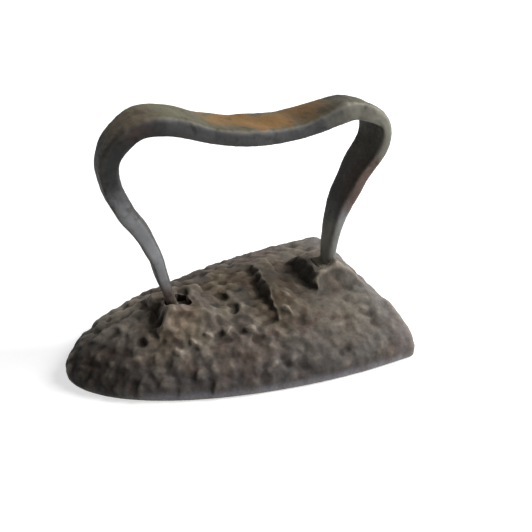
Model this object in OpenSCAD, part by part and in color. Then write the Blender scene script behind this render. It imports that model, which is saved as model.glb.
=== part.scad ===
// Flat iron: a solid cast body with a forged strap handle wedged into its back.
// The toe points along +X, +Z is up, and the origin is the middle of the sole.

/* [Sole and rim] */
// Length of the sole from heel to toe
sole_length = 160; // [140:1:190]
// Width of the sole at the heel
sole_width = 111; // [90:1:130]
// Length at the heel over which the sides run parallel
heel_parallel = 19; // [8:1:40]
// Radius of the two heel corners, seen from above
heel_corner = 3; // [1.5:0.5:14]
// Fullness of the bowed sides, where a larger value is fuller
side_fullness = 1.8; // [1.5:0.1:2.4]
// Pointedness of the toe, where a larger value is sharper
toe_point = 0.53; // [0.45:0.01:0.7]
// Height of the upright rim above the sole
rim_height = 5.5; // [3:0.5:9]
// Worn bevel round the edge of the sole
sole_bevel = 0.6; // [0.3:0.1:2.5]

/* [Rounded back] */
// Height of the crown of the back above the sole
crown_height = 23.5; // [19:0.5:32]
// Width of the level strip along the crown
crown_width = 12; // [6:1:20]
// Distance from the toe to the front end of the crown
toe_slope = 49; // [30:1:55]
// Distance from the heel to the rear end of the crown
heel_slope = 25; // [14:1:32]
// Swell of the flanks, where a smaller value is fuller
flank_swell = 1.2; // [0.9:0.05:1.5]
// Height of the uneven lumps over the hollows of the rough back
lump_height = 1.6; // [0:0.1:2.5]
// Distance from one lump to the next
lump_spacing = 14; // [11:0.5:30]

/* [Raised bosses and rib] */
// Height of the front boss above the crown
front_boss_rise = 5.3; // [2:0.1:9]
// Height of the rear boss above the crown
rear_boss_rise = 7; // [2:0.1:9]
// Metal left round the two mortices, along the iron
boss_wall = 3.5; // [2.5:0.1:6]
// Metal left on each side of the two mortices, across the iron
boss_side_wall = 6.5; // [4:0.5:12]
// Lean of the steep faces that look towards the toe
boss_face_lean = 34; // [15:1:50]
// Lean of the front boss's long back slope
front_boss_tail_lean = 62; // [45:1:70]
// Lean of the rear boss's slope down to the heel
rear_boss_tail_lean = 42; // [25:1:45]
// Lean of the bosses' side faces
boss_side_lean = 38; // [15:1:55]
// Distance of the middle rib ahead of the rear foot
rib_lead = 37; // [30:1:45]
// Height of the middle rib above the crown
rib_rise = 4.7; // [2:0.1:7]
// Length of the middle rib across the iron
rib_length = 45; // [30:1:60]
// Level width along the top of the middle rib
rib_top = 3.5; // [2:0.1:6]
// Radius of the arch along the middle rib
rib_arch = 68; // [60:1:120]
// Lean of the rib's long back slope
rib_tail_lean = 62; // [45:1:70]

/* [Handle line] */
// Distance from the toe to the middle of the front foot
front_foot_setback = 53; // [48:0.5:62]
// Distance from the heel to the middle of the rear foot
rear_foot_setback = 21.5; // [20:0.5:30]
// How far the front bend reaches ahead of the front foot
front_reach = 23; // [12:0.5:28]
// How far the rear bend reaches behind the rear foot
rear_reach = 20.8; // [12:0.1:26]
// Height of the lowest point of the grip above the sole
grip_height = 107.5; // [95:0.5:125]
// Height of the front hump above the lowest point of the grip
front_hump = 11.4; // [3:0.1:15]
// Height of the rear hump above the lowest point of the grip
rear_hump = 4.7; // [2:0.1:10]
// Drop from the front hump to the furthest reach of the front bend
front_bend_drop = 23.3; // [18:0.1:30]
// Drop from the rear hump to the furthest reach of the rear bend
rear_bend_drop = 12.8; // [10:0.1:20]

/* [Strap sections] */
// Thickness of the front foot
front_foot_thick = 5; // [4:0.1:7]
// Thickness of the rear foot
rear_foot_thick = 5.6; // [4:0.1:7]
// Width of both feet
foot_width = 9; // [7:0.5:13]
// Thickness of the front leg
front_leg_thick = 8; // [6:0.1:10]
// Thickness of the front bend
front_bend_thick = 8.6; // [6:0.1:11]
// Width of the front bend
front_bend_width = 10.5; // [9:0.5:18]
// Thickness of the front hump
front_hump_thick = 8.8; // [6:0.1:11]
// Width of the front hump
front_hump_width = 19; // [14:0.5:24]
// Thickness of the grip
grip_thick = 7; // [5:0.1:10]
// Width of the grip
grip_width = 24; // [16:0.5:30]
// Thickness of the rear hump
rear_hump_thick = 8.2; // [6:0.1:11]
// Width of the rear hump
rear_hump_width = 19.5; // [14:0.5:26]
// Thickness of the rear bend
rear_bend_thick = 5.4; // [4:0.1:9]
// Width of the rear bend
rear_bend_width = 22.5; // [14:0.5:28]
// Thickness of the rear leg
rear_leg_thick = 7.4; // [5:0.1:10]
// Width of the rear leg
rear_leg_width = 17; // [11:0.5:24]

/* [Wedged joints] */
// Depth of the two mortices below the tops of their bosses
mortice_depth = 16; // [10:0.5:18]
// Undercut of each mortice, and flare of each tenon, at the bottom
tenon_flare = 2; // [0.5:0.1:3]
// Room for the front wedge at the mouth of its mortice
front_wedge_room = 6; // [4.5:0.1:8]
// Room for the rear wedge at the mouth of its mortice
rear_wedge_room = 4.5; // [4.2:0.1:7]
// Depth of the front wedge's head below the top of its boss
front_wedge_sink = 5; // [0.5:0.1:7]
// Depth of the rear wedge's head below the top of its boss
rear_wedge_sink = 0.4; // [0.3:0.1:7]
// Space left under the point of each wedge
wedge_point_gap = 1.5; // [0.5:0.1:3]
// Clearance on each side of a tenon or a wedge
side_clearance = 0.2; // [0.1:0.05:0.5]

/* [Hidden] */

// Places that follow from the sizes above
toe_x = sole_length / 2;
heel_x = -sole_length / 2;
front_foot_x = toe_x - front_foot_setback;
rear_foot_x = heel_x + rear_foot_setback;
front_boss_top = crown_height + front_boss_rise;
rear_boss_top = crown_height + rear_boss_rise;
front_bend_x = front_foot_x + front_reach;
rear_bend_x = rear_foot_x - rear_reach;
front_hump_z = grip_height + front_hump;
rear_hump_z = grip_height + rear_hump;
front_bend_z = front_hump_z - front_bend_drop;
rear_bend_z = rear_hump_z - rear_bend_drop;

// Joints of the two feet: [foot, hook direction, boss top, foot thickness, wedge room].
// The front tenon hooks towards the toe and the rear one towards the heel.
front_joint = [front_foot_x, 1, front_boss_top, front_foot_thick, front_wedge_room];
rear_joint = [rear_foot_x, -1, rear_boss_top, rear_foot_thick, rear_wedge_room];
function joint_foot(joint) = joint[0];
function joint_hook(joint) = joint[1];
function joint_top(joint) = joint[2];
function joint_thick(joint) = joint[3];
function joint_room(joint) = joint[4];

// Depth to which bosses and rib are rooted in the back
root_depth = 6;
// Extra height of a cut, so that it clears the face it opens
over_cut = 2;
// Points along each side of the plan, and along each heel corner
side_points = 40;
corner_points = 4;
// Rings from the rim up to the crown
back_rings = 16;
// Steps between neighbouring stations of the strap, and points on each of its corners
strap_steps = 4;
corner_steps = 3;
// Corner radius of the strap as a share of its thickness
strap_round = 0.28;
// Shoulder where the rounded strap meets its square tenon
strap_shoulder = 0.3;

function mix(a, b, share) = a + (b - a) * share;

// Skin over rings that all have the same number of points.
// The first ring is closed level, and the last one straight across between its two sides.
module skin(rings) {
    count = len(rings[0]);
    last = (len(rings) - 1) * count;
    polyhedron(
        points = [for (ring = rings) each ring],
        faces = [
            [for (i = [0 : count - 1]) i],
            for (i = [0 : floor((count - 1) / 2) - 1])
                each let (a = last + i, b = last + count - 1 - i)
                    [[b, a + 1, a], if (a + 1 < b - 1) [b, b - 1, a + 1]],
            for (r = [0 : len(rings) - 2], i = [0 : count - 1])
                each let (a = r * count + i, b = r * count + (i + 1) % count)
                    [[a, a + count, b], [b, a + count, b + count]]
        ]
    );
}

// Solid with a side view in X and Z, centred across the iron
module side_slab(side_view, width) {
    rotate([90, 0, 0])
        linear_extrude(width, center = true)
            polygon(side_view);
}

// Solid with an end view in Y and Z, running the length of the iron
module end_slab(end_view) {
    rotate([90, 0, 90])
        linear_extrude(sole_length, center = true)
            polygon(end_view);
}

// Plan of one side as shares: [distance from the toe, half width]
function side_share(along) =
    pow(1 - pow(1 - min(along * sole_length / (sole_length - heel_parallel), 1), side_fullness), toe_point);
corner_start = 1 - heel_corner / sole_length;
side_plan = concat(
    [for (i = [1 : side_points]) let (along = corner_start * pow(i / side_points, 2))
        [along, side_share(along)]],
    [for (i = [1 : corner_points]) let (turn = 90 * i / corner_points)
        [corner_start + heel_corner * sin(turn) / sole_length,
         1 - heel_corner * (1 - cos(turn)) / (sole_width / 2)]]
);

// One level outline of the body, from its heel round by the toe
function plan_ring(toe, heel, half_width, height) = concat(
    [for (i = [len(side_plan) - 1 : -1 : 0]) let (p = side_plan[i])
        [mix(toe, heel, p[0]), -half_width * p[1], height]],
    [[toe, 0, height]],
    [for (p = side_plan) [mix(toe, heel, p[0]), half_width * p[1], height]]
);

// Lumps of the rough back at a place in plan, as waves that bend each other
function lump(x, y) = lump_height / 2
    * sin(360 * x / lump_spacing + 80 * sin(230 * y / lump_spacing))
    * cos(310 * y / lump_spacing + 80 * sin(210 * x / lump_spacing));

// The rounded back draws in from the rim to the crown as the angle turns from 0 to 90
function smooth_back_ring(angle) = let (drawn_in = 1 - cos(angle)) plan_ring(
    toe_x - toe_slope * drawn_in,
    heel_x + heel_slope * pow(drawn_in, 2),
    mix(sole_width, crown_width, drawn_in) / 2,
    mix(rim_height, crown_height, pow(sin(angle), flank_swell))
);
function back_ring(angle) = [
    for (p = smooth_back_ring(angle)) p + [0, 0, lump(p[0], p[1]) * sin(angle)]];

module casting() {
    skin(concat(
        [plan_ring(toe_x - sole_bevel, heel_x + sole_bevel, sole_width / 2 - sole_bevel, 0),
         plan_ring(toe_x, heel_x, sole_width / 2, sole_bevel)],
        [for (i = [0 : back_rings]) back_ring(90 * i / back_rings)]
    ));
}

// Block with a level top, a steep face towards the toe and a slope behind
module raised_block(front, back, top, tail_lean, width) {
    low = crown_height - root_depth;
    rise = top - low;
    half = width / 2;
    side_run = rise * tan(boss_side_lean);
    intersection() {
        side_slab([[front, top], [front + rise * tan(boss_face_lean), low],
            [back - rise * tan(tail_lean), low], [back, top]], width + 2 * side_run);
        end_slab([[half, top], [half + side_run, low], [-half - side_run, low], [-half, top]]);
    }
}

// Boss round the mortice of a joint
module boss(joint, tail_lean) {
    hook_side = joint_thick(joint) / 2 + boss_wall;
    wedge_side = hook_side + joint_room(joint);
    raised_block(
        joint_foot(joint) + (joint_hook(joint) > 0 ? hook_side : wedge_side),
        joint_foot(joint) - (joint_hook(joint) > 0 ? wedge_side : hook_side),
        joint_top(joint), tail_lean, foot_width + 2 * boss_side_wall);
}

module middle_rib() {
    top = crown_height + rib_rise;
    ridge_x = rear_foot_x + rib_lead;
    intersection() {
        raised_block(ridge_x, ridge_x - rib_top, top, rib_tail_lean, rib_length);
        translate([ridge_x, 0, top - rib_arch])
            rotate([0, 90, 0])
                cylinder(h = sole_length, r = rib_arch, center = true, $fn = 96);
    }
}

// Half thickness of a joint's tenon at a depth below its boss's top
function tenon_half(joint, depth) = joint_thick(joint) / 2 + tenon_flare * depth / mortice_depth;

// Far wall of the mortice, behind the wedge
function wedge_wall(joint) = -joint_thick(joint) / 2 - joint_room(joint);

// Side view of a joint's piece from points [towards the hook, below the boss's top]
function joint_view(joint, points) = [
    for (p = points) [joint_foot(joint) + joint_hook(joint) * p[0], joint_top(joint) - p[1]]];

module tenon(joint) {
    neck = tenon_half(joint, 0);
    base = tenon_half(joint, mortice_depth);
    side_slab(joint_view(joint,
        [[neck, 0], [base, mortice_depth], [-base, mortice_depth], [-neck, 0]]), foot_width);
}

module mortice(joint) {
    neck = tenon_half(joint, 0);
    wall = wedge_wall(joint);
    side_slab(joint_view(joint,
        [[neck, -over_cut], [neck, 0], [tenon_half(joint, mortice_depth), mortice_depth],
         [wall, mortice_depth], [wall, -over_cut]]), foot_width + 2 * side_clearance);
}

module wedge(joint, sink) {
    point = mortice_depth - wedge_point_gap;
    wall = wedge_wall(joint);
    side_slab(joint_view(joint,
        [[-tenon_half(joint, sink), sink], [-tenon_half(joint, point), point],
         [wall, point], [wall, sink]]), foot_width);
}

module body() {
    color("#4b443c")
    difference() {
        union() {
            casting();
            boss(front_joint, front_boss_tail_lean);
            boss(rear_joint, rear_boss_tail_lean);
            middle_rib();
        }
        mortice(front_joint);
        mortice(rear_joint);
    }
}

// Sections of the strap as [thickness, width]
front_foot_bar = [front_foot_thick - 2 * strap_shoulder, foot_width - 2 * strap_shoulder];
rear_foot_bar = [rear_foot_thick - 2 * strap_shoulder, foot_width - 2 * strap_shoulder];
front_leg_bar = [front_leg_thick, foot_width];
front_bend_bar = [front_bend_thick, front_bend_width];
front_hump_bar = [front_hump_thick, front_hump_width];
grip_bar = [grip_thick, grip_width];
rear_hump_bar = [rear_hump_thick, rear_hump_width];
rear_bend_bar = [rear_bend_thick, rear_bend_width];
rear_leg_bar = [rear_leg_thick, rear_leg_width];

// Stations on the middle line of the strap: [x, z, thickness, width].
// A leg's places are shares of its reach and of its rise from the boss to the bend.
function front_leg(reach, rise, bar) =
    concat([front_foot_x + front_reach * reach, mix(front_boss_top, front_bend_z, rise)], bar);
function front_bend(reach, rise, bar) =
    concat([front_foot_x + front_reach * reach, mix(front_bend_z, front_hump_z, rise)], bar);
// A place along the grip is a share of the way from the front bend to the rear bend.
function grip(along, hump, bar) = concat([mix(front_bend_x, rear_bend_x, along), grip_height + hump], bar);
function rear_bend(reach, rise, bar) =
    concat([rear_foot_x - rear_reach * reach, mix(rear_bend_z, rear_hump_z, rise)], bar);
function rear_leg(reach, rise, bar) =
    concat([rear_foot_x - rear_reach * reach, mix(rear_boss_top, rear_bend_z, rise)], bar);

stations = [
    front_leg(0, 0, front_foot_bar),
    front_leg(0.17, 0.24, mix(front_foot_bar, front_leg_bar, 0.35)),
    front_leg(0.28, 0.42, mix(front_foot_bar, front_leg_bar, 0.65)),
    front_leg(0.56, 0.64, front_leg_bar),
    front_leg(0.78, 0.78, mix(front_leg_bar, front_bend_bar, 0.4)),
    front_bend(1, 0, front_bend_bar),
    front_bend(0.92, 0.56, mix(front_bend_bar, front_hump_bar, 0.45)),
    front_bend(0.46, 0.96, front_hump_bar),
    grip(0.207, front_hump * 0.92, mix(front_hump_bar, grip_bar, 0.25)),
    grip(0.326, front_hump * 0.44, mix(front_hump_bar, grip_bar, 0.8)),
    grip(0.444, front_hump * 0.13, grip_bar),
    grip(0.62, 0, mix(grip_bar, rear_hump_bar, 0.3)),
    grip(0.722, rear_hump * 0.34, mix(grip_bar, rear_hump_bar, 0.8)),
    grip(0.861, rear_hump, rear_hump_bar),
    rear_bend(0.84, 0.6, mix(rear_hump_bar, rear_bend_bar, 0.5)),
    rear_bend(1, 0, rear_bend_bar),
    rear_leg(0.9, 0.86, mix(rear_bend_bar, rear_leg_bar, 0.25)),
    rear_leg(0.52, 0.67, mix(rear_bend_bar, rear_leg_bar, 0.75)),
    rear_leg(0.19, 0.44, mix(rear_leg_bar, rear_foot_bar, 0.3)),
    rear_leg(0.04, 0.19, mix(rear_leg_bar, rear_foot_bar, 0.75)),
    rear_leg(0, 0, rear_foot_bar)
];

// Smooth curve through the stations, as a point between stations b and c
function through(a, b, c, d, t) =
    b + 0.5 * t * (c - a + t * (2 * a - 5 * b + 4 * c - d + t * (3 * (b - c) + d - a)));
last_station = len(stations) - 1;
strap_line = [
    for (i = [0 : last_station - 1], k = [0 : strap_steps - 1])
        through(stations[max(i - 1, 0)], stations[i], stations[i + 1],
            stations[min(i + 2, last_station)], k / strap_steps),
    stations[last_station]
];

// Rounded section of the strap: [across its thickness, across its width]
function strap_section(thick, width) = let (round = strap_round * thick) [
    for (corner = [0 : 3], k = [0 : corner_steps])
        let (turn = 90 * (corner + k / corner_steps),
             out = (corner == 0 || corner == 3) ? 1 : -1, side = corner < 2 ? 1 : -1)
            [out * (thick / 2 - round) + round * cos(turn),
             side * (width / 2 - round) + round * sin(turn)]];

// One ring of the strap, square to a direction in the X and Z plane
function strap_ring(station, direction) = [
    for (p = strap_section(station[2], station[3]))
        [station[0] + p[0] * sin(direction), p[1], station[1] - p[0] * cos(direction)]];
function heading(from, to) = atan2(to[1] - from[1], to[0] - from[0]);

// The feet stand upright, and a short root of each runs down into its tenon.
module strap() {
    root = [0, over_cut, 0, 0];
    last = len(strap_line) - 1;
    skin(concat(
        [strap_ring(strap_line[0] - root, 90), strap_ring(strap_line[0], 90)],
        [for (i = [1 : last - 1]) strap_ring(strap_line[i], heading(strap_line[i - 1], strap_line[i + 1]))],
        [strap_ring(strap_line[last], -90), strap_ring(strap_line[last] - root, -90)]
    ));
}

module handle() {
    color("#5c544c")
    union() {
        strap();
        tenon(front_joint);
        tenon(rear_joint);
    }
}

module front_wedge() {
    color("#3e3833")
    wedge(front_joint, front_wedge_sink);
}

module rear_wedge() {
    color("#3e3833")
    wedge(rear_joint, rear_wedge_sink);
}

body();
handle();
front_wedge();
rear_wedge();
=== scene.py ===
"""Looks of an old flat iron: a pitted cast body, a forged strap handle and its two wedges."""
import math
from collections import namedtuple

import bpy
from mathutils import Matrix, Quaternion, Vector, noise


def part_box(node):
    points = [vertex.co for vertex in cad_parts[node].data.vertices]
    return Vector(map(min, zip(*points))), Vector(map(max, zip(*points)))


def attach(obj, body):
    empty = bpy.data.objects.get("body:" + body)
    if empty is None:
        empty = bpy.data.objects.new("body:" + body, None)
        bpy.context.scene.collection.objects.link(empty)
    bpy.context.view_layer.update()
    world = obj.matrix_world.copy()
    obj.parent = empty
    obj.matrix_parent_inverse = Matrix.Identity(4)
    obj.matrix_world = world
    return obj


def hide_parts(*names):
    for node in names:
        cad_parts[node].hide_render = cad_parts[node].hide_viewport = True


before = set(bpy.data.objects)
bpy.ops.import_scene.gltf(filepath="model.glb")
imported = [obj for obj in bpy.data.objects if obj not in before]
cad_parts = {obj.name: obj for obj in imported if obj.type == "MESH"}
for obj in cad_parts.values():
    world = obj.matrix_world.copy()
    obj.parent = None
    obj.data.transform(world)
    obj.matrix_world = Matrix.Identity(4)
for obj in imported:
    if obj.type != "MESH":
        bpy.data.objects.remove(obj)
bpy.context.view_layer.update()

bl_info = {
    "name": "Old Flat Iron",
    "version": (1, 0, 0),
    "blender": (4, 5, 0),
    "location": "View3D > Sidebar > Flat Iron",
    "description": "Dresses the solids of a wedged flat iron as pitted cast iron and forged strap",
    "category": "Object",
}

MM = 0.001
BODY_LOW, BODY_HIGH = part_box("body")
HEEL_X = BODY_LOW.x
TOE_X = BODY_HIGH.x
BODY_TOP = BODY_HIGH.z

# Vertices of a node's loose triangles that are nearer than this are one vertex
WELD = 0.01 * MM
# Names of the vertex group that carries the relief and of the layer that holds hollows
ROUGH = "rough"
HOLLOW = "hollow"
# Sockets of the Mix node when it mixes colours
MIX_A, MIX_B, MIX_OUT = 6, 7, 2


def linear(hex_colour):
    """Turns an sRGB hex colour into linear red, green and blue."""
    shares = [int(hex_colour[i:i + 2], 16) / 255 for i in (1, 3, 5)]
    return [c / 12.92 if c <= 0.04045 else ((c + 0.055) / 1.055) ** 2.4 for c in shares]


def length(name, millimetres, description):
    """Size that a user may change, given in millimetres."""
    return bpy.props.FloatProperty(
        name=name, description=description, default=millimetres * MM,
        unit="LENGTH", subtype="DISTANCE", precision=5)


def colour(name, hex_colour, description):
    """Colour that a user may change, given as sRGB."""
    return bpy.props.FloatVectorProperty(
        name=name, description=description, default=linear(hex_colour),
        size=3, min=0, max=1, subtype="COLOR")


def angle(name, degrees, description):
    """Angle that a user may change, given in degrees."""
    return bpy.props.FloatProperty(
        name=name, description=description, default=math.radians(degrees),
        unit="ROTATION", subtype="ANGLE")


def point(x, y, z):
    """Place given in millimetres."""
    return Vector((x * MM, y * MM, z * MM))


# Place with a colour of its own, and how far from it the colour reaches
Spot = namedtuple("Spot", "centre reach")

# FRONT_FACE, REAR_FOOT, RIB_BACK and TOE_FLANK mark painted shade on the casting, TOE_TOP and TOE_SHOULDER a
# painted sheen; on the handle FRONT_BEND marks painted shade and REAR_BEND a painted highlight
FRONT_FOOT = Spot(point(30, 5, 28), 18 * MM)
FRONT_FACE = Spot(point(37, 3, 25), 15 * MM)
FRONT_FLANK = Spot(point(26, 17, 20), 22 * MM)
TOE_TOP = Spot(point(52, -8, 17), 24 * MM)
TOE_SHOULDER = Spot(point(46, -16, 19), 28 * MM)
TOE_FLANK = Spot(point(68, 16, 8), 30 * MM)
RIB_BACK = Spot(point(-26, 12, 27), 26 * MM)
REAR_FOOT = Spot(point(-58, 0, 30), 34 * MM)
FRONT_BEND = Spot(point(42, 10, 108), 28 * MM)
FRONT_HUMP = Spot(point(40, 2, 121), 14 * MM)
GRIP_END = Spot(point(-46, 2, 116), 22 * MM)
REAR_HUMP = Spot(point(-64, -3, 118), 24 * MM)
REAR_BEND = Spot(point(-76, 12, 104), 38 * MM)
REAR_LEG = Spot(point(-70, 12, 74), 22 * MM)
# A colour is full within this share of its reach
FULL_SHARE = 1 / 3

# Middle of the grip, and the uneven lips of the strap's rear hump
GRIP = point(-22, 0, 112)
NEAR_LIP = point(-61, 11, 119)
FAR_LIP = point(-63, -10, 120)

# Pits, lumps and swollen collars that stand out on the back, as places in plan: X and Y in mm
DEEP_PITS = ((18, -7), (1, -1), (-1, 9), (12, 25), (46, 12), (36, 1), (37, 10))
PROUD_LUMPS = ((36, 12), (32, 19), (32, 24), (24, 23), (16, 22), (6, 21), (-2, 27), (-24, 24))
COLLARS = ((-57, 8), (29, 8))
# Noise that makes them ragged: its seed, its steps across a width, and the share of the width it moves
WANDER_SEED = 4
WANDER_STEPS = 2
WANDER_SHARE = 1 / 3

# Bands that a height, a place, a distance or a facing goes through, from no share to a full one
ABOVE_SOLE = (0.6 * MM, 2 * MM)
ABOVE_RIM = (2 * MM, 10 * MM)
RAISED = (20 * MM, 25 * MM)
BELOW_CREST = (26 * MM, 18 * MM)
AHEAD_OF_HEEL = (HEEL_X + 35 * MM, HEEL_X + 70 * MM)
OFF_HEEL_EDGE = (HEEL_X + 4 * MM, HEEL_X + 16 * MM)
BESIDE_RIB = (15 * MM, 7 * MM)
RIB_FAR_END = (8 * MM, -20 * MM)
CLEAR_OF_FOOT = (6 * MM, 12 * MM)
ABOVE_BODY = (BODY_TOP, BODY_TOP + 3 * MM)
FACING_TOE = (0.2, 0.6)
FACING_UP = (0, 0.5)
# Middle of the rib along the iron
RIB_X = -21.5 * MM
# Shares of the relief that calmer parts of the skin keep
RIM_SHARE = 0.45
HEEL_SHARE = 0.45
FLANK_SHARE = 0.5
TOE_FACE_SHARE = 0.4

# Bands of colour: heights on the casting, places along it, heights on the handle, and distances
# from the middle of the grip and from its middle line
RIM_BAND = (26 * MM, 8 * MM)
EDGE_BAND = (7 * MM, 1 * MM)
HEEL_BAND = (HEEL_X + 60 * MM, HEEL_X + 5 * MM)
CREST_BAND = (HEEL_X + 20 * MM, HEEL_X + 1 * MM)
TOE_BAND = (TOE_X - 46 * MM, TOE_X + 8 * MM)
LEG_BAND = (102 * MM, 76 * MM)
EARTH_BAND = (36 * MM, 28 * MM)
GRIP_BAND = (42 * MM, 26 * MM)
PALM_BAND = (14 * MM, 7 * MM)

# Each round of smoothing moves a vertex this share of the way to its neighbours' middle
SMOOTH_SHARE = 0.5
# Faces at the bottom whose normals point down past this are the sole
SOLE_FACING = -0.9

# Way from the iron to the main lamp
KEY_WAY = Vector((-0.72, 0.14, 0.68)).normalized()
# Width of the camera's sensor in mm, and how near it sees
SENSOR_WIDTH = 36
NEAR_CLIP = 10 * MM
# Gap that keeps the floor clear of the sole
FLOOR_DROP = 0.1 * MM
# Distances from the iron between which the floor turns to plain white
GLOW_BAND = (200 * MM, 700 * MM)


class FLATIRON_PG_body(bpy.types.PropertyGroup):
    """Relief and colours of the cast body."""
    grain: length("Grain", 0.68, "Edge length of the casting's mesh")
    knob_spacing: length("Knob spacing", 6.4, "Distance between the rounded knobs of the skin")
    knob_height: length("Knob height", 2.1, "Height of the knobs above the clefts between them")
    pit_spacing: length("Pit spacing", 9, "Distance between the corrosion pits")
    pit_depth: length("Pit depth", 1, "Depth of the corrosion pits below their ridges")
    lump_spacing: length("Lump spacing", 4.8, "Distance between the ragged lumps")
    lump_height: length("Lump height", 2, "Height of the ragged lumps")
    rib_sweep: length("Rib sweep", 4, "How far the rib's far end leans back towards the heel")
    ragged_spacing: length("Ragged spacing", 6, "Distance between the teeth of the rib and bosses")
    ragged_depth: length("Ragged depth", 3, "Depth of the teeth along the rib and bosses")
    deep_pit_width: length("Deep pit width", 9, "Width of the deep pits that stand out")
    deep_pit_depth: length("Deep pit depth", 2.7, "Depth of the deep pits that stand out")
    proud_lump_width: length("Proud lump width", 8, "Width of the lumps that stand out")
    proud_lump_height: length("Proud lump height", 2.2, "Height of the lumps that stand out")
    collar_width: length("Collar width", 16, "Width of the swollen metal beside the feet")
    collar_height: length("Collar height", 4, "Height of the swollen metal beside the feet")
    patch_spacing: length("Patch spacing", 28, "Distance between the broad patches of colour")
    blot_spacing: length("Blot spacing", 9, "Distance between the blots of rust")
    speckle_spacing: length("Speckle spacing", 1.4, "Distance between the pale and dark speckles")
    sand_grain: length("Sand grain", 0.5, "Grain left in the skin by the moulding sand")
    sand_depth: length("Sand depth", 0.2, "Depth of the sand's grain")
    scratch_spacing: length("Scratch spacing", 0.9, "Distance between the scratches of the sole")
    scratch_depth: length("Scratch depth", 0.1, "Depth of the scratches of the sole")
    sole_blot_spacing: length("Sole blot spacing", 18, "Distance between the rust blots of the sole")
    iron: colour("Iron", "#695d4c", "Brown-grey skin of the casting")
    ash: colour("Ash", "#635f59", "Cooler grey skin towards the heel")
    rim: colour("Rim", "#494646", "Blue-grey skin of the smoother rim and the heel face")
    # Along the bottom edge this paler colour is partly wear and partly a painted highlight
    edge: colour("Edge", "#98969b", "Paler metal worn along the edges of the sole and the heel")
    rust: colour("Rust", "#55443a", "Brown rust that stains the skin")
    foot_rust: colour("Foot rust", "#664d43", "Redder rust round the front foot of the handle")
    # This dark colour is also painted shade: on faces towards the toe, round the bosses and the rib, on the
    # toe and in the pits
    soot_and_shade: colour("Soot", "#1d1a16", "Old soot and scale in the hollows and on the toe")
    # On the far shoulder of the toe this paler colour is a painted sheen
    rubbed_and_sheen: colour("Rubbed", "#9a9082", "Rubbed metal on the ridges and on the far shoulder of the toe")
    sole: colour("Sole", "#77746f", "Ground face of the sole")


class FLATIRON_PG_handle(bpy.types.PropertyGroup):
    """Relief and colours of the forged handle and the wedges."""
    grain: length("Grain", 0.7, "Edge length of the handle's mesh")
    wedge_grain: length("Wedge grain", 0.35, "Edge length of the wedges' mesh")
    lip_reach: length("Lip reach", 22, "How far the uneven lips of the rear hump reach")
    lip_height: length("Lip height", 1.4, "How far the near lip is raised and the far one lowered")
    hammer_spacing: length("Hammer spacing", 11, "Distance between the hammer's flats")
    hammer_depth: length("Hammer depth", 1.1, "Depth of the hammer's flats")
    scale_spacing: length("Scale spacing", 2.4, "Distance between the shallow pits in the scale")
    scale_depth: length("Scale depth", 0.16, "Depth of the shallow pits in the forge scale")
    patch_spacing: length("Patch spacing", 22, "Distance between the broad patches of colour")
    blot_spacing: length("Blot spacing", 7, "Distance between the dark blots")
    wander: length("Wander", 20, "Largest step by which the border of a stain wanders")
    speckle_spacing: length("Speckle spacing", 1.5, "Distance between the grains of the scale")
    speckle_depth: length("Speckle depth", 0.15, "Depth of the grains of the scale")
    iron: colour("Iron", "#555556", "Slate-grey forge scale")
    # These paler legs are partly their scale and partly painted light on the sides the lamp leaves in shade
    leg: colour("Leg", "#98999b", "Paler grey scale down the legs")
    olive: colour("Olive", "#534f3b", "Olive-brown film of oil and rust on top")
    # On the rear bend this paler colour is a painted highlight
    pale: colour("Pale", "#8f8d80", "Paler film on the rear bend and above the rear foot")
    rust: colour("Rust", "#6e5330", "Orange rust where the hand has held the grip")
    earth: colour("Earth", "#5a5347", "Dull film at the feet and on the wedges, as on the casting")
    brown: colour("Brown", "#68534a", "Brown rust at the front foot and hump and on the rear leg")
    # This dark colour is also painted shade on the front bend, on the sides that face the toe and in the
    # hollows
    soot_and_shade: colour("Soot", "#211f1b", "Dark scale in the hollows, on the bends and on sides that face the toe")
    # Along the edges this paler colour is partly wear and partly a painted highlight
    rubbed_and_sheen: colour("Rubbed", "#8a857b", "Rubbed metal along the edges")


class FLATIRON_PG_stage(bpy.types.PropertyGroup):
    """Camera, floor and light."""
    target: bpy.props.FloatVectorProperty(
        name="Target", description="Point that the camera looks at",
        default=point(-23.18, -0.28, 35.04), subtype="XYZ", unit="LENGTH")
    distance: length("Distance", 338.74, "Distance from the camera to its target")
    azimuth: angle("Azimuth", 153.463, "Direction of the camera round the iron")
    elevation: angle("Elevation", 32.778, "Height of the camera above the floor, as an angle")
    roll: angle("Roll", 1.517, "Lean of the camera to its side")
    lens: bpy.props.FloatProperty(
        name="Lens", description="Focal length in millimetres",
        default=45.97, subtype="DISTANCE_CAMERA")
    floor_size: length("Floor size", 6000, "Side of the square floor")
    floor: colour("Floor", "#d0d0d0", "Pale floor")
    floor_glow: bpy.props.FloatProperty(
        name="Floor glow", description="Share of white that the floor shows by itself near the iron",
        default=0.62, subtype="FACTOR")
    sky: colour("Sky", "#ffffff", "Soft light from all round")
    sky_strength: bpy.props.FloatProperty(
        name="Sky strength", description="Strength of the light from all round", default=0.16)
    key_power: bpy.props.FloatProperty(
        name="Key power", description="Power of the main lamp in watts", default=14, unit="POWER")
    key_size: length("Key size", 450, "Side of the main lamp's soft box")
    key_distance: length("Key distance", 900, "Distance of the main lamp from the iron")


def smooth_step(value, band):
    """Share from 0 to 1, with soft ends, as a value goes through a band."""
    low, high = band
    share = min(max((value - low) / (high - low), 0), 1)
    return share * share * (3 - 2 * share)


def at_least(least, share):
    """Stretches a share of 0 to 1 so that it starts at the least."""
    return least + (1 - least) * share


def select_only(piece):
    """Selects one piece alone and makes it active."""
    bpy.ops.object.select_all(action="DESELECT")
    piece.select_set(True)
    bpy.context.view_layer.objects.active = piece


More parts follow.
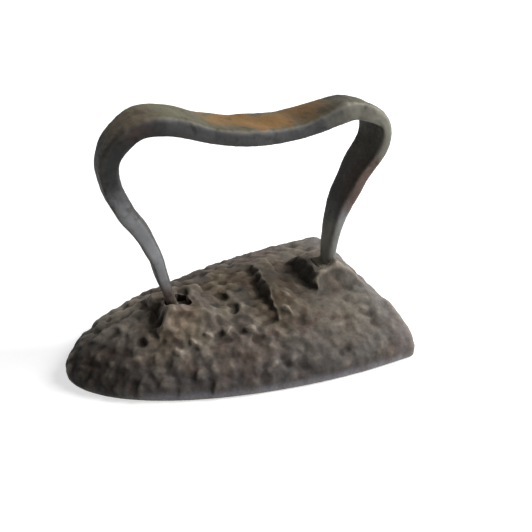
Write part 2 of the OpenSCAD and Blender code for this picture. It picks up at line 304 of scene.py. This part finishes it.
def copy_of_node(node, name):
    """New piece with a welded copy of a node's mesh."""
    piece = bpy.data.objects.new(name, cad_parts[node].data.copy())
    bpy.context.scene.collection.objects.link(piece)
    piece.data.name = name
    piece.data.materials.clear()
    select_only(piece)
    bpy.ops.object.mode_set(mode="EDIT")
    bpy.ops.mesh.select_all(action="SELECT")
    bpy.ops.mesh.remove_doubles(threshold=WELD)
    bpy.ops.object.mode_set(mode="OBJECT")
    return piece


def apply_modifier(piece, kind, **settings):
    """Adds a modifier with its settings and applies it."""
    select_only(piece)
    modifier = piece.modifiers.new(kind.title(), kind)
    for name, value in settings.items():
        setattr(modifier, name, value)
    bpy.ops.object.modifier_apply(modifier=modifier.name)


def smooth_out(piece, rounds):
    """Smooths the skin in a number of rounds."""
    apply_modifier(piece, "SMOOTH", factor=SMOOTH_SHARE, iterations=rounds)


def remesh(piece, grain, rounds):
    """Gives a piece an even mesh and smooths the grain's steps out of it."""
    apply_modifier(piece, "REMESH", mode="VOXEL", voxel_size=grain)
    smooth_out(piece, rounds)


def weigh(piece, weight_at):
    """Fills the relief's vertex group with a weight for each vertex's place and normal."""
    group = piece.vertex_groups.get(ROUGH) or piece.vertex_groups.new(name=ROUGH)
    for vertex in piece.data.vertices:
        group.add([vertex.index], weight_at(vertex.co, vertex.normal), "REPLACE")


def shift(piece, weight_at, step, direction):
    """Moves the skin by a step, as far as each vertex's weight lets it."""
    weigh(piece, weight_at)
    apply_modifier(
        piece, "DISPLACE", strength=step, mid_level=0, direction=direction, vertex_group=ROUGH)


def raise_spots(piece, spots, width, height, direction="NORMAL"):
    """Raises ragged lumps on the back, or presses hollows where the height is negative."""
    def weight_at(place, normal):
        place = place + noise.noise_vector(place / width * WANDER_STEPS) * width * WANDER_SHARE
        nearest = min(math.hypot(place.x - x * MM, place.y - y * MM) for x, y in spots)
        return smooth_step(nearest, (width / 2, 0)) * smooth_step(normal.z, FACING_UP)

    shift(piece, weight_at, height, direction)


def raise_round(piece, centre, reach, height):
    """Raises the upward skin round a place, or lowers it where the height is negative."""
    def weight_at(place, normal):
        gap = (place - centre).length
        return smooth_step(gap, (reach, 0)) * smooth_step(normal.z, FACING_UP)

    shift(piece, weight_at, height, "Z")


def apply_relief(
        piece, kind, depth, stretch=(1, 1, 1), middle=0.5, direction="NORMAL", **texture_settings):
    """Moves the skin by a procedural texture, which is stretched along the axes."""
    texture = bpy.data.textures.new("relief", kind)
    for name, value in texture_settings.items():
        setattr(texture, name, value)
    place = bpy.data.objects.new("relief_place", None)
    bpy.context.scene.collection.objects.link(place)
    place.scale = stretch
    bpy.context.view_layer.update()
    apply_modifier(
        piece, "DISPLACE", texture=texture, strength=depth, mid_level=middle, direction=direction,
        vertex_group=ROUGH, texture_coords="OBJECT", texture_coords_object=place)
    bpy.data.objects.remove(place)
    bpy.data.textures.remove(texture)


def paint_hollows(piece, reach, rounds):
    """Stores how far each vertex stands above the smoothed skin: 0 deep in a pit, 1 on a ridge."""
    broad = bpy.data.objects.new("broad", piece.data.copy())
    bpy.context.scene.collection.objects.link(broad)
    smooth_out(broad, rounds)
    layer = piece.data.attributes.new(HOLLOW, "FLOAT", "POINT")
    for vertex, below, entry in zip(piece.data.vertices, broad.data.vertices, layer.data):
        rise = (vertex.co - below.co).dot(below.normal)
        entry.value = min(max(0.5 + 0.5 * rise / reach, 0), 1)
    bpy.data.meshes.remove(broad.data)


def finish_piece(piece, node, materials):
    """Gives a piece its materials and puts it in its node's place."""
    for material in materials:
        piece.data.materials.append(material)
    select_only(piece)
    bpy.ops.object.shade_smooth()
    piece.vertex_groups.clear()
    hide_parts(node)
    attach(piece, "root")


def add_node(tree, kind, sockets=None, **settings):
    """Adds a node with its settings, and sets or links its input sockets."""
    node = tree.nodes.new(kind)
    for name, value in settings.items():
        setattr(node, name, value)
    for name, value in (sockets or {}).items():
        if isinstance(value, bpy.types.NodeSocket):
            tree.links.new(value, node.inputs[name])
        else:
            node.inputs[name].default_value = value
    return node


def new_material(name):
    """Empty node material and its tree."""
    material = bpy.data.materials.new(name)
    material.use_nodes = True
    material.node_tree.nodes.clear()
    return material, material.node_tree


def rgba(rgb):
    """Colour with full alpha, as sockets take it."""
    return (*rgb, 1)


def stain(tree, skin, over, mask, band, most=1):
    """Lays a colour over the skin as the mask goes through a band, up to the most share."""
    start, full = band
    share = add_node(tree, "ShaderNodeMapRange", {
        "Value": mask, "From Min": start, "From Max": full, "To Max": most},
        interpolation_type="SMOOTHSTEP")
    mixed = add_node(tree, "ShaderNodeMix", {
        0: share.outputs["Result"], MIX_A: skin, MIX_B: rgba(over)}, data_type="RGBA")
    return mixed.outputs[MIX_OUT]


def blotch(tree, skin, over, place, spot, most=1):
    """Lays a colour over the skin round a spot, fading out at its reach."""
    gap = add_node(tree, "ShaderNodeVectorMath", {0: place, 1: spot.centre}, operation="DISTANCE")
    band = (spot.reach, spot.reach * FULL_SHARE)
    return stain(tree, skin, over, gap.outputs["Value"], band, most)


def pitted_cast_iron(settings):
    """Sand-cast iron, long corroded: matt brown-grey skin, sooty pits that also carry painted shade, worn
    ridges, painted shade on the faces towards the toe and a painted sheen on the toe's far shoulder.
    """
    material, tree = new_material("pitted_cast_iron")
    place = add_node(tree, "ShaderNodeTexCoord").outputs["Object"]
    axes = add_node(tree, "ShaderNodeSeparateXYZ", {0: place}).outputs
    facing = add_node(tree, "ShaderNodeSeparateXYZ", {
        0: add_node(tree, "ShaderNodeNewGeometry").outputs["Normal"]}).outputs
    hollow = add_node(tree, "ShaderNodeAttribute", attribute_name=HOLLOW).outputs["Fac"]
    patches = add_node(tree, "ShaderNodeTexNoise", {
        "Vector": place, "Scale": 1 / settings.patch_spacing, "Detail": 3}).outputs["Fac"]
    blots = add_node(tree, "ShaderNodeTexNoise", {
        "Vector": place, "Scale": 1 / settings.blot_spacing, "Detail": 5,
        "Distortion": 0.6}).outputs["Fac"]
    speckles = add_node(tree, "ShaderNodeTexNoise", {
        "Vector": place, "Scale": 1 / settings.speckle_spacing, "Detail": 4}).outputs["Fac"]
    # Patches and rust of the whole skin, redder rust round the front foot, and painted shade on the front
    # boss's face, round the rear foot and beside the rib
    skin = stain(tree, rgba(settings.iron), settings.ash, patches, (0.4, 0.62))
    skin = stain(tree, skin, settings.rust, blots, (0.5, 0.7), most=0.6)
    skin = blotch(tree, skin, settings.foot_rust, place, FRONT_FOOT, most=0.45)
    skin = blotch(tree, skin, settings.soot_and_shade, place, FRONT_FACE, most=0.7)
    skin = blotch(tree, skin, settings.soot_and_shade, place, REAR_FOOT, most=0.5)
    skin = blotch(tree, skin, settings.soot_and_shade, place, RIB_BACK, most=0.5)
    # Greyer towards the rim and the heel, paler along the bottom edge, darker towards the toe
    skin = stain(tree, skin, settings.rim, axes["Z"], RIM_BAND, most=0.9)
    skin = stain(tree, skin, settings.ash, axes["X"], HEEL_BAND, most=0.75)
    skin = stain(tree, skin, settings.rust, patches, (0.5, 0.64), most=0.45)
    # Paler along the bottom edge: partly wear, partly a painted highlight
    skin = stain(tree, skin, settings.edge, axes["Z"], EDGE_BAND, most=0.8)
    # Darker towards the toe, partly sooty and partly painted shade, and painted shade on the toe's near
    # flank
    skin = stain(tree, skin, settings.soot_and_shade, axes["X"], TOE_BAND, most=0.68)
    skin = blotch(tree, skin, settings.soot_and_shade, place, TOE_FLANK, most=0.42)
    # Painted sheen on the far top and shoulder of the toe
    skin = blotch(tree, skin, settings.ash, place, TOE_TOP, most=0.7)
    skin = blotch(tree, skin, settings.rubbed_and_sheen, place, TOE_SHOULDER, most=0.5)
    skin = blotch(tree, skin, settings.rubbed_and_sheen, place, FRONT_FLANK, most=0.16)
    # Pale crest of the heel, darker heel face, and painted shade that blackens the faces towards the toe
    skin = stain(tree, skin, settings.edge, axes["X"], CREST_BAND, most=0.18)
    skin = stain(tree, skin, settings.rim, facing["X"], (-0.7, -1), most=0.75)
    skin = stain(tree, skin, settings.rust, blots, (0.52, 0.66), most=0.3)
    skin = stain(tree, skin, settings.soot_and_shade, facing["X"], (0.45, 0.75), most=0.75)
    # Dark pits, partly sooty scale and partly painted shade, and worn ridges between them
    skin = stain(tree, skin, settings.soot_and_shade, hollow, (0.5, 0.2), most=0.55)
    skin = stain(tree, skin, settings.rubbed_and_sheen, hollow, (0.58, 0.9), most=0.4)
    lightness = add_node(tree, "ShaderNodeMapRange", {
        "Value": speckles, "From Min": 0.3, "From Max": 0.7, "To Min": 0.84, "To Max": 1.14})
    skin = add_node(tree, "ShaderNodeVectorMath", {
        0: skin, "Scale": lightness.outputs["Result"]}, operation="SCALE")
    roughness = add_node(tree, "ShaderNodeMapRange", {
        "Value": hollow, "From Min": 0.3, "From Max": 0.75, "To Min": 0.85, "To Max": 0.58})
    # Moulding sand is often finer than the grain here, which is drawn as coarse as it needs to show
    sand = add_node(tree, "ShaderNodeTexNoise", {
        "Vector": place, "Scale": 1 / settings.sand_grain, "Detail": 3})
    bump = add_node(tree, "ShaderNodeBump", {
        "Height": sand.outputs["Fac"], "Strength": 0.5, "Distance": settings.sand_depth})
    shader = add_node(tree, "ShaderNodeBsdfPrincipled", {
        "Base Color": skin.outputs["Vector"], "Roughness": roughness.outputs["Result"],
        "Metallic": 0.1, "Specular IOR Level": 0.1, "Normal": bump.outputs["Normal"]})
    add_node(tree, "ShaderNodeOutputMaterial", {"Surface": shader.outputs["BSDF"]})
    return material


def ground_sole_iron(settings):
    """Ground and worn iron: a flat grey face with fine scratches along the iron's travel."""
    material, tree = new_material("ground_sole_iron")
    place = add_node(tree, "ShaderNodeTexCoord").outputs["Object"]
    # The scratches are drawn coarser than real ones, so that they show
    along = add_node(tree, "ShaderNodeMapping", {"Vector": place, "Scale": (0.05, 1, 1)})
    scratches = add_node(tree, "ShaderNodeTexNoise", {
        "Vector": along.outputs["Vector"], "Scale": 1 / settings.scratch_spacing,
        "Detail": 4}).outputs["Fac"]
    blots = add_node(tree, "ShaderNodeTexNoise", {
        "Vector": place, "Scale": 1 / settings.sole_blot_spacing, "Detail": 5}).outputs["Fac"]
    skin = stain(tree, rgba(settings.sole), settings.rust, blots, (0.48, 0.7), most=0.8)
    roughness = add_node(tree, "ShaderNodeMapRange", {
        "Value": scratches, "From Min": 0.3, "From Max": 0.7, "To Min": 0.3, "To Max": 0.6})
    bump = add_node(tree, "ShaderNodeBump", {
        "Height": scratches, "Strength": 0.3, "Distance": settings.scratch_depth})
    shader = add_node(tree, "ShaderNodeBsdfPrincipled", {
        "Base Color": skin, "Roughness": roughness.outputs["Result"],
        "Metallic": 0.8, "Normal": bump.outputs["Normal"]})
    add_node(tree, "ShaderNodeOutputMaterial", {"Surface": shader.outputs["BSDF"]})
    return material


def forged_iron(settings):
    """Hand-forged wrought iron: slate scale, rust on the grip, edges worn by the hand, painted light on the
    legs and the rear bend, and painted shade on the front bend and the sides that face the toe.
    """
    material, tree = new_material("forged_wrought_iron")
    place = add_node(tree, "ShaderNodeTexCoord").outputs["Object"]
    facing = add_node(tree, "ShaderNodeSeparateXYZ", {
        0: add_node(tree, "ShaderNodeNewGeometry").outputs["Normal"]}).outputs
    hollow = add_node(tree, "ShaderNodeAttribute", attribute_name=HOLLOW).outputs["Fac"]
    patches = add_node(tree, "ShaderNodeTexNoise", {
        "Vector": place, "Scale": 1 / settings.patch_spacing, "Detail": 4}).outputs["Fac"]
    blots = add_node(tree, "ShaderNodeTexNoise", {
        "Vector": place, "Scale": 1 / settings.blot_spacing, "Detail": 6,
        "Distortion": 0.8}).outputs
    speckles = add_node(tree, "ShaderNodeTexNoise", {
        "Vector": place, "Scale": 1 / settings.speckle_spacing, "Detail": 4}).outputs["Fac"]
    # The blots' colour, centred on zero, moves each place a little, so that borders are ragged
    centred = add_node(tree, "ShaderNodeVectorMath", {
        0: blots["Color"], 1: (0.5, 0.5, 0.5)}, operation="SUBTRACT")
    ragged = add_node(tree, "ShaderNodeVectorMath", {
        0: centred.outputs["Vector"], 1: (settings.wander,) * 3, 2: place},
        operation="MULTIPLY_ADD").outputs["Vector"]
    ragged_axes = add_node(tree, "ShaderNodeSeparateXYZ", {0: ragged}).outputs
    # The hand has held the grip's upper side, along its middle
    from_grip = add_node(tree, "ShaderNodeVectorMath", {
        0: ragged, 1: GRIP}, operation="DISTANCE").outputs["Value"]
    on_grip = add_node(tree, "ShaderNodeMapRange", {
        "Value": from_grip, "From Min": GRIP_BAND[0], "From Max": GRIP_BAND[1]}).outputs["Result"]
    across = add_node(tree, "ShaderNodeMath", {0: ragged_axes["Y"]}, operation="ABSOLUTE")
    in_palm = add_node(tree, "ShaderNodeMapRange", {
        "Value": across.outputs["Value"], "From Min": PALM_BAND[0],
        "From Max": PALM_BAND[1]}).outputs["Result"]
    held = patches
    for share in (facing["Z"], in_palm, on_grip):
        held = add_node(
            tree, "ShaderNodeMath", {0: share, 1: held}, operation="MULTIPLY").outputs["Value"]
    # Scale of the legs and the bends, then the sides by the way they face, with painted light and shade
    # Paler legs: partly their scale, partly painted light that lifts the sides the lamp leaves in shade
    skin = stain(tree, rgba(settings.iron), settings.leg, ragged_axes["Z"], LEG_BAND)
    skin = blotch(tree, skin, settings.brown, place, FRONT_FOOT, most=0.9)
    # Painted shade on the front bend and a painted highlight on the rear bend
    skin = blotch(tree, skin, settings.soot_and_shade, ragged, FRONT_BEND, most=0.65)
    skin = blotch(tree, skin, settings.pale, ragged, REAR_BEND, most=0.9)
    skin = blotch(tree, skin, settings.brown, ragged, REAR_LEG, most=0.9)
    # Sides that face the lamp keep the slate scale, so the painted light of the legs stays on their shaded
    # sides
    skin = stain(tree, skin, settings.iron, facing["X"], (-0.2, -0.7), most=0.85)
    # Painted shade on the sides that face the toe
    skin = stain(tree, skin, settings.soot_and_shade, facing["X"], (0.3, 0.9), most=0.85)
    skin = blotch(tree, skin, settings.pale, ragged, REAR_FOOT, most=0.6)
    skin = stain(tree, skin, settings.olive, facing["Z"], (0.5, 0.85), most=0.85)
    skin = stain(tree, skin, settings.earth, ragged_axes["Z"], EARTH_BAND, most=0.8)
    # Humps and grip
    skin = blotch(tree, skin, settings.brown, ragged, FRONT_HUMP, most=0.3)
    skin = blotch(tree, skin, settings.soot_and_shade, ragged, REAR_HUMP, most=0.5)
    skin = stain(tree, skin, settings.rust, held, (0.2, 0.5))
    skin = blotch(tree, skin, settings.soot_and_shade, ragged, GRIP_END, most=0.4)
    # Dark blots; dark hollows, partly scale and partly painted shade; paler edges, partly wear and partly a
    # painted highlight
    skin = stain(tree, skin, settings.soot_and_shade, blots["Fac"], (0.55, 0.72), most=0.45)
    skin = stain(tree, skin, settings.soot_and_shade, hollow, (0.46, 0.36), most=0.5)
    skin = stain(tree, skin, settings.rubbed_and_sheen, hollow, (0.62, 0.85), most=0.3)
    lightness = add_node(tree, "ShaderNodeMapRange", {
        "Value": patches, "From Min": 0.3, "From Max": 0.7, "To Min": 0.8, "To Max": 1.15})
    skin = add_node(tree, "ShaderNodeVectorMath", {
        0: skin, "Scale": lightness.outputs["Result"]}, operation="SCALE")
    roughness = add_node(tree, "ShaderNodeMapRange", {
        "Value": speckles, "From Min": 0.3, "From Max": 0.7, "To Min": 0.55, "To Max": 0.72})
    bump = add_node(tree, "ShaderNodeBump", {
        "Height": speckles, "Strength": 0.35, "Distance": settings.speckle_depth})
    shader = add_node(tree, "ShaderNodeBsdfPrincipled", {
        "Base Color": skin.outputs["Vector"], "Roughness": roughness.outputs["Result"],
        "Metallic": 0.2, "Specular IOR Level": 0.12, "Normal": bump.outputs["Normal"]})
    add_node(tree, "ShaderNodeOutputMaterial", {"Surface": shader.outputs["BSDF"]})
    return material


def seen_rays(tree):
    """Gives 1 to rays that show the stage, straight or mirrored, and 0 to rays that light the iron."""
    path = add_node(tree, "ShaderNodeLightPath").outputs
    mirrored = add_node(tree, "ShaderNodeMath", {
        0: path["Is Glossy Ray"], 1: path["Is Transmission Ray"]}, operation="MAXIMUM")
    seen = add_node(tree, "ShaderNodeMath", {
        0: path["Is Camera Ray"], 1: mirrored.outputs["Value"]}, operation="MAXIMUM")
    return seen.outputs["Value"]


def pale_floor(settings):
    """Matt pale board, lifted to white where it is seen, with the iron's shadow kept."""
    material, tree = new_material("pale_matt_board")
    place = add_node(tree, "ShaderNodeTexCoord").outputs["Object"]
    away = add_node(tree, "ShaderNodeVectorMath", {0: place}, operation="LENGTH")
    glow = add_node(tree, "ShaderNodeMapRange", {
        "Value": away.outputs["Value"], "From Min": GLOW_BAND[0], "From Max": GLOW_BAND[1],
        "To Min": settings.floor_glow, "To Max": 1}, interpolation_type="SMOOTHSTEP")
    lift = add_node(tree, "ShaderNodeMath", {
        0: glow.outputs["Result"], 1: seen_rays(tree)}, operation="MULTIPLY")
    board = add_node(tree, "ShaderNodeBsdfDiffuse", {"Color": rgba(settings.floor)})
    white = add_node(tree, "ShaderNodeEmission", {
        "Color": rgba(settings.sky), "Strength": lift.outputs["Value"]})
    lifted = add_node(tree, "ShaderNodeAddShader", {
        0: board.outputs["BSDF"], 1: white.outputs["Emission"]})
    add_node(tree, "ShaderNodeOutputMaterial", {"Surface": lifted.outputs["Shader"]})
    return material


def soft_sky(settings):
    """Even soft light from all round, which is white where it is seen."""
    world = bpy.data.worlds.new("soft_sky")
    world.use_nodes = True
    tree = world.node_tree
    tree.nodes.clear()
    strength = add_node(tree, "ShaderNodeMapRange", {
        "Value": seen_rays(tree), "To Min": settings.sky_strength, "To Max": 1})
    sky = add_node(tree, "ShaderNodeBackground", {
        "Color": rgba(settings.sky), "Strength": strength.outputs["Result"]})
    add_node(tree, "ShaderNodeOutputWorld", {"Surface": sky.outputs["Background"]})
    return world


def swept_at(place, normal):
    """Weight of the lean of the rib's far end."""
    near_rib = smooth_step(abs(place.x - RIB_X), BESIDE_RIB)
    return smooth_step(place.z, RAISED) * near_rib * smooth_step(place.y, RIB_FAR_END)


def ragged_at(place, normal):
    """Weight of the teeth on the rib and the bosses, which leave the rear foot alone."""
    from_foot = (place - REAR_FOOT.centre).length
    return smooth_step(place.z, RAISED) * smooth_step(from_foot, CLEAR_OF_FOOT)


def cast_skin_at(place, normal):
    """Weight of the casting's relief: none on the sole, less on the rim, the heel and toe faces."""
    flank = smooth_step(place.z, BELOW_CREST) * smooth_step(place.x, OFF_HEEL_EDGE)
    lively = max(smooth_step(place.x, AHEAD_OF_HEEL), FLANK_SHARE * flank)
    toe_face = smooth_step(normal.x, FACING_TOE) * smooth_step(place.z, RAISED)
    rim = at_least(RIM_SHARE, smooth_step(place.z, ABOVE_RIM))
    heel = at_least(HEEL_SHARE, lively)
    return smooth_step(place.z, ABOVE_SOLE) * rim * heel * at_least(TOE_FACE_SHARE, 1 - toe_face)


def hammered_at(place, normal):
    """Weight of the handle's relief, which starts above the casting."""
    return smooth_step(place.z, ABOVE_BODY)


class FLATIRON_OT_body(bpy.types.Operator):
    """Roughen the cast body with knobs, pits, lumps, collars and a ragged rib"""
    bl_idname = "flatiron.body"
    bl_label = "Cast Body"

    def execute(self, context):
        settings = context.scene.flatiron_body
        piece = copy_of_node("body", "cast_body")
        remesh(piece, settings.grain, rounds=3)
        noise.seed_set(WANDER_SEED)
        raise_spots(piece, DEEP_PITS, settings.deep_pit_width, -settings.deep_pit_depth)
        raise_spots(piece, PROUD_LUMPS, settings.proud_lump_width, settings.proud_lump_height)
        raise_spots(piece, COLLARS, settings.collar_width, settings.collar_height, direction="Z")
        smooth_out(piece, rounds=8)
        shift(piece, swept_at, -settings.rib_sweep, "X")
        weigh(piece, ragged_at)
        apply_relief(
            piece, "CLOUDS", settings.ragged_depth, direction="X",
            noise_scale=settings.ragged_spacing, noise_depth=1)
        weigh(piece, cast_skin_at)
        apply_relief(
            piece, "VORONOI", -settings.knob_height, stretch=(1, 1, 1.5), middle=0.2,
            noise_scale=settings.knob_spacing, distance_metric="DISTANCE_SQUARED")
        apply_relief(
            piece, "VORONOI", settings.pit_depth, middle=0.6,
            noise_scale=settings.pit_spacing, distance_metric="DISTANCE_SQUARED")
        apply_relief(
            piece, "CLOUDS", settings.lump_height, stretch=(1, 1, 1.4), middle=0.6,
            noise_scale=settings.lump_spacing, noise_depth=1)
        smooth_out(piece, rounds=4)
        paint_hollows(piece, reach=1.2 * MM, rounds=120)
        finish_piece(
            piece, "body", [pitted_cast_iron(settings), ground_sole_iron(settings)])
        for face in piece.data.polygons:
            if face.normal.z < SOLE_FACING and face.center.z < settings.grain:
                face.material_index = 1
        return {"FINISHED"}


class FLATIRON_OT_handle(bpy.types.Operator):
    """Round and hammer the forged strap handle"""
    bl_idname = "flatiron.handle"
    bl_label = "Forged Handle"

    def execute(self, context):
        settings = context.scene.flatiron_handle
        piece = copy_of_node("handle", "forged_handle")
        remesh(piece, settings.grain, rounds=3)
        raise_round(piece, NEAR_LIP, settings.lip_reach, settings.lip_height)
        raise_round(piece, FAR_LIP, settings.lip_reach, -settings.lip_height)
        weigh(piece, hammered_at)
        apply_relief(
            piece, "CLOUDS", settings.hammer_depth,
            noise_scale=settings.hammer_spacing, noise_depth=0)
        apply_relief(
            piece, "VORONOI", settings.scale_depth, middle=0.55,
            noise_scale=settings.scale_spacing)
        paint_hollows(piece, reach=1 * MM, rounds=60)
        finish_piece(piece, "handle", [forged_iron(settings)])
        return {"FINISHED"}


class FLATIRON_OT_wedges(bpy.types.Operator):
    """Soften the two hammered wedges"""
    bl_idname = "flatiron.wedges"
    bl_label = "Wedges"

    def execute(self, context):
        settings = context.scene.flatiron_handle
        iron = forged_iron(settings)
        for node in ("front_wedge", "rear_wedge"):
            piece = copy_of_node(node, "driven_" + node)
            remesh(piece, settings.wedge_grain, rounds=6)
            paint_hollows(piece, reach=1 * MM, rounds=20)
            finish_piece(piece, node, [iron])
        return {"FINISHED"}


class FLATIRON_OT_stage(bpy.types.Operator):
    """Set the floor, the light and the camera"""
    bl_idname = "flatiron.stage"
    bl_label = "Stage"

    def execute(self, context):
        settings = context.scene.flatiron_stage
        scene = context.scene
        scene.view_settings.view_transform = "Standard"
        bpy.ops.object.select_all(action="DESELECT")
        bpy.ops.mesh.primitive_plane_add(size=settings.floor_size, location=(0, 0, -FLOOR_DROP))
        floor = context.object
        floor.name = "floor"
        floor.data.materials.append(pale_floor(settings))
        scene.world = soft_sky(settings)
        target = Vector(settings.target)
        bpy.ops.object.light_add(type="AREA", location=target + KEY_WAY * settings.key_distance)
        key = context.object
        key.name = "key_lamp"
        key.data.energy = settings.key_power
        key.data.size = settings.key_size
        key.rotation_euler = KEY_WAY.to_track_quat("Z", "Y").to_euler()
        level = math.cos(settings.elevation)
        back = Vector((
            math.sin(settings.azimuth) * level, -math.cos(settings.azimuth) * level,
            math.sin(settings.elevation)))
        turn = back.to_track_quat("Z", "Y") @ Quaternion((0, 0, 1), settings.roll)
        bpy.ops.object.camera_add(
            location=target + back * settings.distance, rotation=turn.to_euler())
        camera = context.object
        camera.data.lens = settings.lens
        camera.data.sensor_width = SENSOR_WIDTH
        camera.data.clip_start = NEAR_CLIP
        scene.camera = camera
        return {"FINISHED"}


class FLATIRON_PT_sidebar(bpy.types.Panel):
    """Lists the steps and their settings"""
    bl_idname = "FLATIRON_PT_sidebar"
    bl_label = "Flat Iron"
    bl_space_type = "VIEW_3D"
    bl_region_type = "UI"
    bl_category = "Flat Iron"

    def draw(self, context):
        for step in STEPS:
            self.layout.operator(step.bl_idname)
        for group, kind in GROUPS.items():
            for name in kind.__annotations__:
                self.layout.prop(getattr(context.scene, group), name)


GROUPS = {
    "flatiron_body": FLATIRON_PG_body,
    "flatiron_handle": FLATIRON_PG_handle,
    "flatiron_stage": FLATIRON_PG_stage,
}
STEPS = (FLATIRON_OT_body, FLATIRON_OT_handle, FLATIRON_OT_wedges, FLATIRON_OT_stage)


def register():
    for group, kind in GROUPS.items():
        bpy.utils.register_class(kind)
        setattr(bpy.types.Scene, group, bpy.props.PointerProperty(type=kind))
    for step in STEPS:
        bpy.utils.register_class(step)
    bpy.utils.register_class(FLATIRON_PT_sidebar)


def unregister():
    bpy.utils.unregister_class(FLATIRON_PT_sidebar)
    for step in reversed(STEPS):
        bpy.utils.unregister_class(step)
    for group, kind in reversed(GROUPS.items()):
        delattr(bpy.types.Scene, group)
        bpy.utils.unregister_class(kind)


def main():
    """Makes the pieces and the stage."""
    register()
    bpy.ops.flatiron.body()
    bpy.ops.flatiron.handle()
    bpy.ops.flatiron.wedges()
    bpy.ops.flatiron.stage()


if __name__ == "__main__":
    main()
